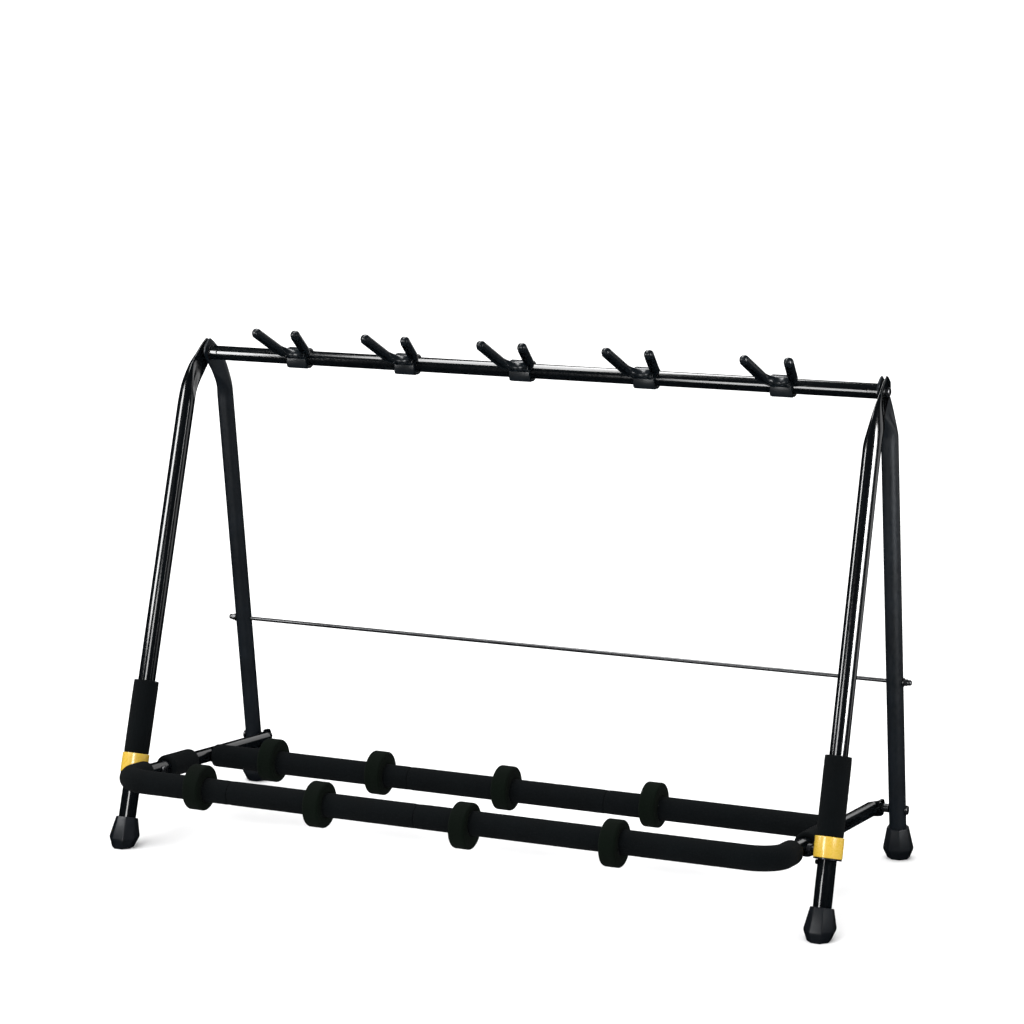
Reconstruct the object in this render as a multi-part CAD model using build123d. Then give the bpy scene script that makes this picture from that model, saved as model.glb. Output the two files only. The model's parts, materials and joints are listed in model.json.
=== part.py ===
from build123d import *
import math
import os

# Five-space folding guitar rack. Millimetres, +Z up, -Y is the side the
# instruments are loaded from, +X along the top bar. The origin is on the floor
# under the middle of the object's bounding box.

# ---------------------------------------------------------------- dimensions
YC = 98.585               # Y of the top pivot axis
PIVOT_Z = 628.0           # height of the top pivot axis

FRONT_X = 478.3           # plane of each front leg
FRONT_R = 11.4            # front leg tube, outer radius
FRONT_TOP_Y = -36.9       # Y of the straight leg axis at pivot height, from the pivot
FRONT_FOOT_Y = -242.8     # Y of the straight leg axis at the floor, from the pivot
FRONT_BEND_R = 100.0
FRONT_END_DEG = 54.0      # direction of the leg's end, from vertical

REAR_X = 472.3
REAR_R = 11.1
REAR_TOP_Y = 31.5
REAR_FOOT_Y = 117.8
REAR_BEND_R = 90.0
REAR_END_DEG = 50.0

WALL = 1.5                # tube wall
PLATE_T = 3.2             # thickness of a flattened tube end

BAR_R = 9.7               # top bar tube
BAR_HALF = 468.5

ARM_X = 443.0             # plane of each cradle side arm
ARM_R = 9.6
RAIL_Y = -303.0           # front rail axis, from the pivot
RAIL_Z = 110.6
RAIL_BEND_R = 36.0
HINGE_Y = 108.5           # rear pivot of the cradle, from the pivot
HINGE_Z = 67.0
BOLT_Y = -209.8           # bolt at the collar, from the pivot
CORNER_FOAM_Y = -243.0    # where the front rail's foam ends on each arm, from the pivot
REAR_RAIL_Y = -71.0
FOAM_R = 15.3
FOAM_GAP = 0.05

PLATE_X = 450.9           # plane of the strut's flattened rear end

ROD_Z = 242.0
ROD_R = 2.6

GRIP_TOP = 441.0          # distances down the front leg axis from pivot height
GRIP_END = 537.8
COLLAR_END = 563.4
FLANGE_END = 565.4
SLEEVE_BORE = FRONT_R + 0.08
SLEEVE_R = 13.2
GRIP_R = 16.6
COLLAR_R = 17.7

YOKE_X = (-333.6, -173.8, -8.9, 163.4, 346.2)
YOKE_W = 28.6             # width of the clip along the bar
YOKE_TILT = 30.7          # rise of the fork's plane above level, degrees
YOKE_BASE_Y = -14.0       # middle of the fork's U, from the pivot
YOKE_BASE_Z = 6.0
YOKE_TIP = 66.0           # tips, along the fork's plane from that middle
YOKE_ARC_R = 20.8
YOKE_ARC_DEG = 80.6       # half the angle of the U
YOKE_ARM_R = 6.2

DIV_FRONT_X = (-326.8, -155.9, 43.7, 240.5)
DIV_REAR_X = (-345.0, -185.0, -2.3, 202.9)
DIV_T = 22.0
DIV_R = 28.8
DIV_EDGE = 3.2
DIV_DROP_FRONT = (-2.5, 0.3, 4.1, 2.6)   # how far each disc hangs below its rail
DIV_DROP_REAR = (-2.6, -2.6, -2.6, -3.6)
DIV_BORE = FOAM_R + 0.3

os.makedirs("parts", exist_ok=True)
NODES = {}


def keep(name, shape):
    NODES[name] = shape


def both(name, shape):
    """One piece on the +X side and its mirror image on the -X side."""
    keep(name + "_right", shape)
    keep(name + "_left", mirror(shape, about=Plane.YZ))


def pt(x, y, z):
    return Vector(x, YC + y, z)


def rod_between(a, b, r):
    d = b - a
    return Plane(origin=a, z_dir=d.normalized()) * Cylinder(r, d.length, align=(Align.CENTER, Align.CENTER, Align.MIN))


def xrod(x0, x1, y, z, r):
    return rod_between(pt(x0, y, z), pt(x1, y, z), r)


def tube_along(path, r_out, r_in):
    start = path @ 0
    tangent = path % 0
    plane = Plane(origin=start, z_dir=tangent)
    outer = sweep(plane * Circle(r_out), path)
    if r_in <= 0:
        return outer
    return outer - sweep(plane * Circle(r_in), path)


def hexagon_x(x0, x1, y, z, across_flats):
    """Hexagonal prism along X."""
    pln = Plane(origin=pt(x0, y, z), x_dir=(0, 1, 0), z_dir=(1, 0, 0))
    return extrude(pln * RegularPolygon(across_flats / 2, 6, major_radius=False), x1 - x0)


def button_head_x(x0, height, r, y, z, side=1):
    """Domed screw head whose flat face is at x0; side +1 domes towards +X."""
    pln = Plane(origin=pt(x0, y, z), x_dir=(0, 1, 0), z_dir=(side, 0, 0))
    head = pln * Cylinder(r, height, align=(Align.CENTER, Align.CENTER, Align.MIN))
    top = head.edges().filter_by(GeomType.CIRCLE).sort_by(Axis((0, 0, 0), (side, 0, 0)))[-1]
    head = fillet(top, height * 0.62)
    socket = Plane(origin=pt(x0 + side * height, y, z), x_dir=(0, 1, 0), z_dir=(-side, 0, 0))
    return head - extrude(socket * RegularPolygon(r * 0.36, 6), height * 0.5)


def flattened_end(stations, r, x_shift):
    """Loft from the round tube to its flattened width. stations are
    (y, z, heading in degrees from vertical, half width, half thickness, x)."""
    faces = []
    for y, z, head, a, b, x in stations:
        d = Vector(0, math.sin(math.radians(head)), math.cos(math.radians(head)))
        n = Vector(0, -math.cos(math.radians(head)), math.sin(math.radians(head)))
        pln = Plane(origin=pt(x, y, z), x_dir=n, z_dir=d)
        faces.append(pln * Ellipse(a, b))
    return loft(faces)


# ------------------------------------------------------------------ the legs
def leg(x, r, top_y, foot_y, bend_r, end_deg, outline, foot_z, hole_r, cross_holes):
    """A leg tube: straight, bent towards the pivot near its top, then flattened
    into a plate that the pivot bolt passes through."""
    sgn = 1 if top_y < 0 else -1          # +1: the leg heads towards +Y going up
    slope = (top_y - foot_y) / PIVOT_Z    # y gained per mm of height
    lean = math.degrees(math.atan(abs(slope)))
    a0, a1 = math.radians(lean), math.radians(end_deg)
    dy = bend_r * (math.cos(a0) - math.cos(a1))
    dz = bend_r * (math.sin(a1) - math.sin(a0))
    # straight run m between the bend and the pivot
    m = (abs(top_y) + abs(slope) * dz - dy) / (math.sin(a1) - abs(slope) * math.cos(a1))
    bend_end = (-sgn * m * math.sin(a1), PIVOT_Z - m * math.cos(a1))
    bend_start = (bend_end[0] - sgn * dy, bend_end[1] - dz)
    centre = (bend_start[0] + sgn * bend_r * math.cos(a0), bend_start[1] - bend_r * math.sin(a0))

    def on_path(back):
        """Point and heading, a distance back from the pivot along the axis."""
        if back <= m:
            return (-sgn * back * math.sin(a1), PIVOT_Z - back * math.cos(a1), math.degrees(a1))
        a = a1 - (back - m) / bend_r
        return (centre[0] - sgn * bend_r * math.cos(a), centre[1] + bend_r * math.sin(a), math.degrees(a))

    round_end = min(84.0, m + bend_r * (a1 - a0) - 3.0)
    y_r, z_r, h_r = on_path(round_end)
    foot = (foot_y - slope * -foot_z, foot_z)
    mid_a = (math.radians(h_r) + a0) / 2
    line = Line(pt(x, foot_y + slope * foot_z, foot_z), pt(x, *bend_start))
    arc = ThreePointArc(
        pt(x, *bend_start),
        pt(x, centre[0] - sgn * bend_r * math.cos(mid_a), centre[1] + bend_r * math.sin(mid_a)),
        pt(x, y_r, z_r),
    )
    body = tube_along(Wire([line, arc]), r, r - WALL)
    wide = math.pi * r / 2 * 0.965
    stations = []
    for back, f in ((round_end, 0.0), (round_end - 14.0, 0.22), (round_end - 28.0, 0.62),
                    (round_end - 42.0, 0.93), (25.0, 1.0)):
        y, z, h = on_path(back)
        stations.append((y, z, sgn * h, r + (wide - r) * f, r + (PLATE_T / 2 - r) * f, x))
    body += flattened_end(stations, r, 0)
    # the flat plate, outlined in (along the leg, across it) about the pivot
    d = Vector(0, sgn * math.sin(a1), math.cos(a1))
    up = Vector(0, -sgn * math.cos(a1), math.sin(a1))
    pln = Plane(origin=pt(x - PLATE_T / 2, 0, PIVOT_Z), x_dir=d, z_dir=(1, 0, 0))
    flip = 1 if pln.y_dir.dot(up) > 0 else -1
    ring = Polyline([(t, flip * w) for t, w in outline], close=True)
    plate = extrude(pln * make_face(ring), PLATE_T)
    plate = fillet(plate.edges().filter_by(Axis.X), 2.2)
    body += plate
    body -= xrod(x - 30, x + 30, 0, PIVOT_Z, hole_r)
    for y, z, hr in cross_holes:
        body -= xrod(x - 30, x + 30, y, z, hr)
    return body


def front_axis(s):
    """Point on the front leg axis, s down from pivot height."""
    length = math.hypot(FRONT_FOOT_Y - FRONT_TOP_Y, PIVOT_Z)
    return (FRONT_TOP_Y + (FRONT_FOOT_Y - FRONT_TOP_Y) * s / length, PIVOT_Z - PIVOT_Z * s / length)


def rear_axis_y(z):
    return REAR_TOP_Y + (REAR_FOOT_Y - REAR_TOP_Y) * (PIVOT_Z - z) / PIVOT_Z


PLATE_OUTLINE = [(-27, 16.2), (-8, 17.6), (12.5, 15.0), (17.6, 0.0), (13.0, -11.0), (-12, -15.5), (-27, -16.0)]

STOP_S = FLANGE_END + 0.1 + 3.3
stop_y, stop_z = front_axis(STOP_S)
stop_cut = rod_between(pt(FRONT_X - 16, stop_y, stop_z), pt(FRONT_X - 6, stop_y, stop_z), 2.05)
front = leg(FRONT_X, FRONT_R, FRONT_TOP_Y, FRONT_FOOT_Y, FRONT_BEND_R, FRONT_END_DEG,
            PLATE_OUTLINE, 9.0, 3.97, [])
both("front_leg", front - stop_cut)

rod_y = rear_axis_y(ROD_Z)
rear = leg(REAR_X, REAR_R, REAR_TOP_Y, REAR_FOOT_Y, REAR_BEND_R, REAR_END_DEG,
           [(t, w) for t, w in PLATE_OUTLINE], 9.0, 4.03,
           [(rod_y, ROD_Z, ROD_R + 0.03), (HINGE_Y, HINGE_Z, 3.03)])
both("rear_leg", rear)


def foot(x, r, top_y, foot_y, z_top):
    """Eight-sided rubber cap, widest a little above the floor."""
    slope = (top_y - foot_y) / PIVOT_Z
    lean = math.atan(slope)
    d = Vector(0, math.sin(lean), math.cos(lean))

    def section(z, rad, tilt):
        o = pt(x, foot_y + slope * z, z)
        zd = d if tilt else Vector(0, 0, 1)
        return Plane(origin=o, x_dir=(1, 0, 0), z_dir=zd) * RegularPolygon(rad, 8, rotation=22.5)

    cap = loft([section(z_top, r + 3.4, True), section(14.0, 20.3, False)], ruled=True)
    cap += loft([section(14.0, 20.3, False), section(0.0, 14.6, False)], ruled=True)
    bore_from = pt(x, foot_y + slope * 8.95, 8.95)
    bore = rod_between(bore_from - d * 0.0, bore_from + d * 60, r + 0.02)
    return cap - bore


both("front_foot", foot(FRONT_X, FRONT_R, FRONT_TOP_Y, FRONT_FOOT_Y, 37.0))
both("rear_foot", foot(REAR_X, REAR_R, REAR_TOP_Y, REAR_FOOT_Y, 43.0))

# ------------------------------------------------------- top bar and its pivots
bar = xrod(-BAR_HALF, BAR_HALF, 0, PIVOT_Z, BAR_R) - xrod(-BAR_HALF - 1, BAR_HALF + 1, 0, PIVOT_Z, BAR_R - WALL)
for side in (-1, 1):
    bar -= rod_between(pt(side * 457.0, 0, PIVOT_Z), pt(side * 457.0, -14, PIVOT_Z + 3), 1.8)
keep("top_bar", bar)

insert = xrod(438, BAR_HALF, 0, PIVOT_Z, BAR_R - WALL - 0.02) + xrod(BAR_HALF, 470.4, 0, PIVOT_Z, BAR_R + 0.9)
both("bar_end_insert", insert - xrod(430, 475, 0, PIVOT_Z, 3.96))

head_x = FRONT_X + PLATE_T / 2
bolt = xrod(446, head_x, 0, PIVOT_Z, 3.94) + button_head_x(head_x, 3.9, 5.9, 0, PIVOT_Z)
both("top_pivot_bolt", bolt)

washer = xrod(REAR_X + PLATE_T / 2 + 0.3, FRONT_X - PLATE_T / 2, 0, PIVOT_Z, 9.5)
both("top_pivot_washer", washer - xrod(470, 480, 0, PIVOT_Z, 3.97))

screw = rod_between(pt(FRONT_X - 13.6, stop_y, stop_z), pt(FRONT_X - 7.5, stop_y, stop_z), 2.0)
# the head is turned in the leg's own direction and just clears the sleeve above it
screw += button_head_x(FRONT_X - FRONT_R - 0.02, 3.4, 3.2, stop_y, stop_z, side=-1)
both("stop_screw", screw)

# ----------------------------------------------------------- sliding grips
def on_leg(s0, s1, r):
    return rod_between(pt(FRONT_X, *front_axis(s0)), pt(FRONT_X, *front_axis(s1)), r)


sleeve = on_leg(GRIP_TOP + 0.6, FLANGE_END, SLEEVE_R) + on_leg(COLLAR_END, FLANGE_END, COLLAR_R - 0.5)
both("slide_sleeve", sleeve - on_leg(GRIP_TOP - 5, FLANGE_END + 5, SLEEVE_BORE))

grip = on_leg(GRIP_TOP, GRIP_END, GRIP_R) - on_leg(GRIP_TOP - 5, GRIP_END + 5, SLEEVE_R + FOAM_GAP)
both("grip_foam", grip)

collar = on_leg(GRIP_END, COLLAR_END, COLLAR_R) - on_leg(GRIP_END - 5, COLLAR_END + 5, SLEEVE_R + 0.02)
collar = chamfer(collar.edges().filter_by(GeomType.CIRCLE).sort_by(Axis((FRONT_X, 0, 0), (0, -0.3116, -0.9502)))[-2:], 0.6)
both("collar", collar)

# ------------------------------------------------------------------ the cradle
SLOPE = (HINGE_Z - RAIL_Z) / (HINGE_Y - RAIL_Y)


def arm_z(y):
    return RAIL_Z + SLOPE * (y - RAIL_Y)


arm_d = Vector(0, 1, SLOPE).normalized()
JOIN_Y = -195.0
corner_y = RAIL_Y + RAIL_BEND_R * arm_d.Y


def rail_path(x0, x1, y_arm=None, arm_side=0):
    """Front rail axis. From x0 to x1 along the rail; with arm_side, the run
    continues round the bend and back along the arm to y_arm."""
    straight = ARM_X - RAIL_BEND_R
    if not arm_side:
        return Wire([Line(pt(x0, RAIL_Y, RAIL_Z), pt(x1, RAIL_Y, RAIL_Z))])
    s = arm_side
    a = pt(s * straight, RAIL_Y, RAIL_Z)
    b = pt(s * ARM_X, RAIL_Y, RAIL_Z) + arm_d * RAIL_BEND_R
    c = pt(s * straight, RAIL_Y, RAIL_Z) + arm_d * RAIL_BEND_R
    mid = c + (Vector(s, 0, 0) - arm_d).normalized() * RAIL_BEND_R
    end = pt(s * ARM_X, y_arm, arm_z(y_arm))
    return Wire([Line(pt(x0, RAIL_Y, RAIL_Z), a), ThreePointArc(a, mid, b), Line(b, end)])


def arm_run(y0, y1, r, x=ARM_X):
    return rod_between(pt(x, y0, arm_z(y0)), pt(x, y1, arm_z(y1)), r)


rail_r = tube_along(rail_path(0, 0, JOIN_Y, 1), ARM_R, ARM_R - WALL)
rail = rail_r + mirror(rail_r, about=Plane.YZ)
bolt_z = arm_z(BOLT_Y)
for s in (-1, 1):
    rail -= xrod(s * ARM_X - 14, s * ARM_X + 14, BOLT_Y, bolt_z, 3.42)
    slit = Plane(origin=pt(s * ARM_X, JOIN_Y, arm_z(JOIN_Y)), x_dir=(1, 0, 0), z_dir=arm_d) * Box(40, 1.4, 50)
    rail -= slit
keep("front_rail", rail)

SPIGOT_R = ARM_R - WALL - 0.04
strut = arm_run(JOIN_Y, 88, ARM_R) + arm_run(JOIN_Y - 34, JOIN_Y + 1, SPIGOT_R)
strut -= arm_run(JOIN_Y - 40, 80, ARM_R - WALL - 1.5)
tilt = math.degrees(math.atan(SLOPE))
heading = 90 - tilt
sections = []
for y, f in ((88, 0.0), (93, 0.35), (98, 0.8), (102, 1.0)):
    wide = 10.6
    sections.append((y, arm_z(y), heading, ARM_R + (wide - ARM_R) * f,
                     ARM_R + (PLATE_T / 2 - ARM_R) * f, ARM_X + (PLATE_X - ARM_X) * f))
strut += flattened_end(sections, ARM_R, 0)
pln = Plane(origin=pt(PLATE_X - PLATE_T / 2, HINGE_Y, HINGE_Z), x_dir=arm_d, z_dir=(1, 0, 0))
tab = extrude(pln * make_face(Polyline([(-10, 10.4), (5, 10.4), (9.5, 5.5), (9.5, -5.5), (5, -10.4), (-10, -10.4)], close=True)), PLATE_T)
tab = fillet(tab.edges().filter_by(Axis.X), 3.0)
strut += tab
strut -= xrod(440, 460, HINGE_Y, HINGE_Z, 3.08)
strut -= xrod(ARM_X - 14, ARM_X + 14, BOLT_Y, bolt_z, 3.42)
both("strut", strut)

rr_z = arm_z(REAR_RAIL_Y)
cross = xrod(-ARM_X, ARM_X, REAR_RAIL_Y, rr_z, ARM_R) - xrod(-ARM_X, ARM_X, REAR_RAIL_Y, rr_z, ARM_R - WALL)
for s in (-1, 1):
    cross -= arm_run(-120, 0, ARM_R + 0.02, x=s * ARM_X)
keep("rear_rail", cross)

# foam sleeves of the cradle
SEAMS_F = (-281.0, -20.0, 241.0)
SEAMS_R = (-139.5, 139.5)
SEAM = 0.4


def foam(path):
    return tube_along(path, FOAM_R, ARM_R + FOAM_GAP)


keep("front_foam_right", foam(rail_path(SEAMS_F[2] + SEAM, 0, CORNER_FOAM_Y, 1)))
keep("front_foam_left", foam(rail_path(SEAMS_F[0] - SEAM, 0, CORNER_FOAM_Y, -1)))
keep("front_foam_mid_left", foam(rail_path(SEAMS_F[0] + SEAM, SEAMS_F[1] - SEAM)))
keep("front_foam_mid_right", foam(rail_path(SEAMS_F[1] + SEAM, SEAMS_F[2] - SEAM)))


def rear_foam(x0, x1):
    return xrod(x0, x1, REAR_RAIL_Y, rr_z, FOAM_R) - xrod(x0 - 1, x1 + 1, REAR_RAIL_Y, rr_z, ARM_R + FOAM_GAP)


FOAM_END = ARM_X - ARM_R - 1.0
keep("rear_foam_left", rear_foam(-FOAM_END, SEAMS_R[0] - SEAM))
keep("rear_foam_mid", rear_foam(SEAMS_R[0] + SEAM, SEAMS_R[1] - SEAM))
keep("rear_foam_right", rear_foam(SEAMS_R[1] + SEAM, FOAM_END))
both("arm_foam", arm_run(-190, -124, FOAM_R) - arm_run(-195, -120, ARM_R + FOAM_GAP))

# bolts that clamp the rail to the struts and reach out to the collars
bolt = xrod(ARM_X - ARM_R - 0.3, 460.1, BOLT_Y, bolt_z, 3.4)
bolt += button_head_x(ARM_X - ARM_R - 0.3, 3.6, 6.0, BOLT_Y, bolt_z, side=-1)
both("arm_bolt", bolt)
nut = hexagon_x(ARM_X + ARM_R + 0.2, 457.6, BOLT_Y, bolt_z, 11.0)
both("arm_bolt_nut", nut - xrod(440, 465, BOLT_Y, bolt_z, 3.42))

# ----------------------------------------------- rear pivots and tie rod
hb = xrod(444.6, REAR_X + REAR_R + 0.1, HINGE_Y, HINGE_Z, 3.0)
hb += button_head_x(REAR_X + REAR_R + 0.1, 3.4, 6.2, HINGE_Y, HINGE_Z)
both("rear_pivot_bolt", hb)
sp = xrod(PLATE_X + PLATE_T / 2 + 0.3, REAR_X - REAR_R - 0.1, HINGE_Y, HINGE_Z, 5.6)
nut_in = hexagon_x(445.0, PLATE_X - PLATE_T / 2 - 0.3, HINGE_Y, HINGE_Z, 10.0)
bore = xrod(430, 475, HINGE_Y, HINGE_Z, 3.02)
sp, nut_in = sp - bore, nut_in - bore
keep("rear_pivot_spacers", Compound(children=[sp, mirror(sp, about=Plane.YZ)]))
keep("rear_pivot_nuts", Compound(children=[nut_in, mirror(nut_in, about=Plane.YZ)]))

keep("tie_rod", xrod(-491.5, 491.5, rod_y, ROD_Z, ROD_R))
x0 = REAR_X + REAR_R + 0.1
cap = xrod(x0 + 5.0, x0 + 11.4, rod_y, ROD_Z, 3.7)
cap = fillet(cap.edges().filter_by(GeomType.CIRCLE).sort_by(Axis.X)[-1], 2.6)
rn = xrod(x0, x0 + 1.4, rod_y, ROD_Z, 5.6) + hexagon_x(x0 + 1.2, x0 + 5.8, rod_y, ROD_Z, 8.0) + cap
rn = rn - xrod(x0 - 1, 491.6, rod_y, ROD_Z, ROD_R + 0.02)
keep("tie_rod_nuts", Compound(children=[rn, mirror(rn, about=Plane.YZ)]))


# --------------------------------------------------------------- neck yokes
def yoke():
    """Clip for the top bar with a U-shaped fork that rises towards the front,
    made about X = 0."""
    x = 0.0
    t = math.radians(YOKE_TILT)
    rise = Vector(0, -math.cos(t), math.sin(t))
    pln = Plane(origin=pt(x, YOKE_BASE_Y, PIVOT_Z + YOKE_BASE_Z), x_dir=(1, 0, 0), z_dir=Vector(1, 0, 0).cross(rise))
    a = math.radians(YOKE_ARC_DEG)
    sx, sy = YOKE_ARC_R * math.sin(a), YOKE_ARC_R * (1 - math.cos(a))
    run = (YOKE_TIP - sy) / math.sin(a)
    tx = sx + run * math.cos(a)

    def w(u, v):
        return pln.from_local_coords(Vector(u, v, 0))

    ex, ey = tx + YOKE_ARM_R * math.cos(a), YOKE_TIP + YOKE_ARM_R * math.sin(a)
    path = Wire([
        Line(w(-ex, ey), w(-sx, sy)),
        ThreePointArc(w(-sx, sy), w(0, 0), w(sx, sy)),
        Line(w(sx, sy), w(ex, ey)),
    ])
    fork = sweep(Plane(origin=path @ 0, z_dir=path % 0) * Circle(YOKE_ARM_R), path)
    ends = fork.faces().filter_by(GeomType.PLANE).edges()
    fork = fillet(ends, YOKE_ARM_R - 0.15)
    # C-shaped clip, open towards the back
    outer = Circle(BAR_R + 3.9)
    front_wall = Pos((-14.5 - 6) / 2, -3.2) * Rectangle(8.5, 22.0)
    prof = outer + front_wall - Circle(BAR_R + 0.08)
    prof -= make_face(Polyline([(3.0, 0.0), (24, -26), (30, 0), (24, 16), (3.0, 4.0)], close=True))
    side = Plane(origin=pt(x - YOKE_W / 2, 0, PIVOT_Z), x_dir=(0, 1, 0), z_dir=(1, 0, 0))
    clip = extrude(side * prof, YOKE_W)
    body = fork + clip
    return body - xrod(x - 60, x + 60, 0, PIVOT_Z, BAR_R + 0.08)


one_yoke = yoke()
for i, x in enumerate(YOKE_X):
    keep(f"neck_yoke_{i + 1}", Pos(x, 0, 0) * one_yoke)


# ------------------------------------------------------------------ dividers
def divider(x, y, z, drop):
    """Thick foam disc with rounded edges on a foam rail, its bore a little off centre."""
    disc = xrod(x - DIV_T / 2, x + DIV_T / 2, y, z - drop, DIV_R)
    disc = fillet(disc.edges().filter_by(GeomType.CIRCLE), DIV_EDGE)
    return disc - xrod(x - 30, x + 30, y, z, DIV_BORE)


for i, x in enumerate(DIV_FRONT_X):
    keep(f"divider_front_{i + 1}", divider(x, RAIL_Y, RAIL_Z, DIV_DROP_FRONT[i]))
for i, x in enumerate(DIV_REAR_X):
    keep(f"divider_rear_{i + 1}", divider(x, REAR_RAIL_Y, rr_z, DIV_DROP_REAR[i]))

for name, shape in NODES.items():
    export_step(shape, f"parts/{name}.step")

boxes = [s.bounding_box() for s in NODES.values()]
lo = [min(tuple(b.min)[i] for b in boxes) for i in range(3)]
hi = [max(tuple(b.max)[i] for b in boxes) for i in range(3)]
print(len(NODES), "nodes", "low", [round(v, 2) for v in lo], "high", [round(v, 2) for v in hi])
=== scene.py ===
import json
import math

import bmesh
import bpy
from mathutils import Matrix, Vector, noise


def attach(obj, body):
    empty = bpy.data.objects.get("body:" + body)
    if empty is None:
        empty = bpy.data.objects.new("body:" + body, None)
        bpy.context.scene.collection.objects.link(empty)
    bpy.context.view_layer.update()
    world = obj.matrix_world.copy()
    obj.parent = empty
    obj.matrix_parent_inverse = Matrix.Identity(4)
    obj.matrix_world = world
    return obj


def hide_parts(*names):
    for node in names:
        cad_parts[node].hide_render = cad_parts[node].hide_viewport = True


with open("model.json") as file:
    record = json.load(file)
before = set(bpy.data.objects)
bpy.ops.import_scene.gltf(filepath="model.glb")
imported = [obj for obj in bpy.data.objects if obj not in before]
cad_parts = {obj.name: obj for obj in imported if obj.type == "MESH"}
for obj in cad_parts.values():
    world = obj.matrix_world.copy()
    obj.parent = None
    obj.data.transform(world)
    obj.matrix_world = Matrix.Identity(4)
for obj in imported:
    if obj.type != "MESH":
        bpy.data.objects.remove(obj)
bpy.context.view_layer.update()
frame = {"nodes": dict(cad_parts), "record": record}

MM = 0.001

# ------------------------------------------------------------- shared sizes, mm
YC = 98.585
PIVOT_Z = 628.0
FRONT_X, REAR_X = 478.3, 472.3
FRONT_TOP_Y, FRONT_FOOT_Y = -36.9, -242.8
REAR_TOP_Y, REAR_FOOT_Y = 31.5, 117.8
ARM_X, ARM_R = 443.0, 9.6
RAIL_Y, RAIL_Z, RAIL_BEND_R = -303.0, 110.6, 36.0
HINGE_Y, HINGE_Z = 108.5, 67.0
REAR_RAIL_Y = -71.0
CORNER_FOAM_Y = -243.0
FOAM_R = 15.3
SLOPE = (HINGE_Z - RAIL_Z) / (HINGE_Y - RAIL_Y)
ARM_D = Vector((0, 1, SLOPE)).normalized()


def V(x, y, z):
    """Point given in mm with Y counted from the top pivot, to metres in the frame."""
    return Vector((x * MM, (YC + y) * MM, z * MM))


def arm_z(y):
    return RAIL_Z + SLOPE * (y - RAIL_Y)


# ------------------------------------------------------------------- materials
def new_material(name):
    m = bpy.data.materials.new(name)
    m.use_nodes = True
    nt = m.node_tree
    for n in list(nt.nodes):
        nt.nodes.remove(n)
    out = nt.nodes.new("ShaderNodeOutputMaterial")
    bsdf = nt.nodes.new("ShaderNodeBsdfPrincipled")
    nt.links.new(bsdf.outputs[0], out.inputs[0])
    return m, nt, bsdf


def coords(nt):
    return nt.nodes.new("ShaderNodeTexCoord").outputs["Object"]


def noise_tex(nt, co, scale, detail=3.0, rough=0.55, dist=0.0):
    n = nt.nodes.new("ShaderNodeTexNoise")
    n.inputs["Scale"].default_value = scale
    n.inputs["Detail"].default_value = detail
    n.inputs["Roughness"].default_value = rough
    n.inputs["Distortion"].default_value = dist
    nt.links.new(co, n.inputs["Vector"])
    return n


def ramp(nt, src, stops):
    r = nt.nodes.new("ShaderNodeValToRGB")
    while len(r.color_ramp.elements) < len(stops):
        r.color_ramp.elements.new(0.5)
    for e, (p, c) in zip(r.color_ramp.elements, stops):
        e.position = p
        e.color = (*c, 1) if len(c) == 3 else c
    nt.links.new(src, r.inputs[0])
    return r.outputs[0]


def span(nt, src, lo, hi, a=0.3, b=0.7):
    m = nt.nodes.new("ShaderNodeMapRange")
    m.inputs["From Min"].default_value = a
    m.inputs["From Max"].default_value = b
    m.inputs["To Min"].default_value = lo
    m.inputs["To Max"].default_value = hi
    nt.links.new(src, m.inputs["Value"])
    return m.outputs[0]


def bump(nt, bsdf, heights):
    """Chain of bump nodes: (height socket, strength, distance in metres)."""
    last = None
    for h, strength, dist in heights:
        b = nt.nodes.new("ShaderNodeBump")
        b.inputs["Strength"].default_value = strength
        b.inputs["Distance"].default_value = dist
        nt.links.new(h, b.inputs["Height"])
        if last is not None:
            nt.links.new(last, b.inputs["Normal"])
        last = b.outputs[0]
    nt.links.new(last, bsdf.inputs["Normal"])


def enamel(name, base, rough, spec):
    """Powder-coated or enamelled steel: deep black, faint orange peel, light scuffs."""
    m, nt, b = new_material(name)
    co = coords(nt)
    big = noise_tex(nt, co, 14, 4, 0.6)
    fine = noise_tex(nt, co, 240, 2, 0.5)
    peel = noise_tex(nt, co, 620, 1, 0.4)
    lo = tuple(v * 0.72 for v in base)
    hi = tuple(v * 1.35 for v in base)
    nt.links.new(ramp(nt, big.outputs[0], [(0.3, lo), (0.7, hi)]), b.inputs["Base Color"])
    nt.links.new(span(nt, fine.outputs[0], rough * 0.85, rough * 1.2), b.inputs["Roughness"])
    b.inputs["Specular IOR Level"].default_value = spec
    bump(nt, b, [(peel.outputs[0], 0.05, 0.0002), (big.outputs[0], 0.03, 0.0008)])
    return m


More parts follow.
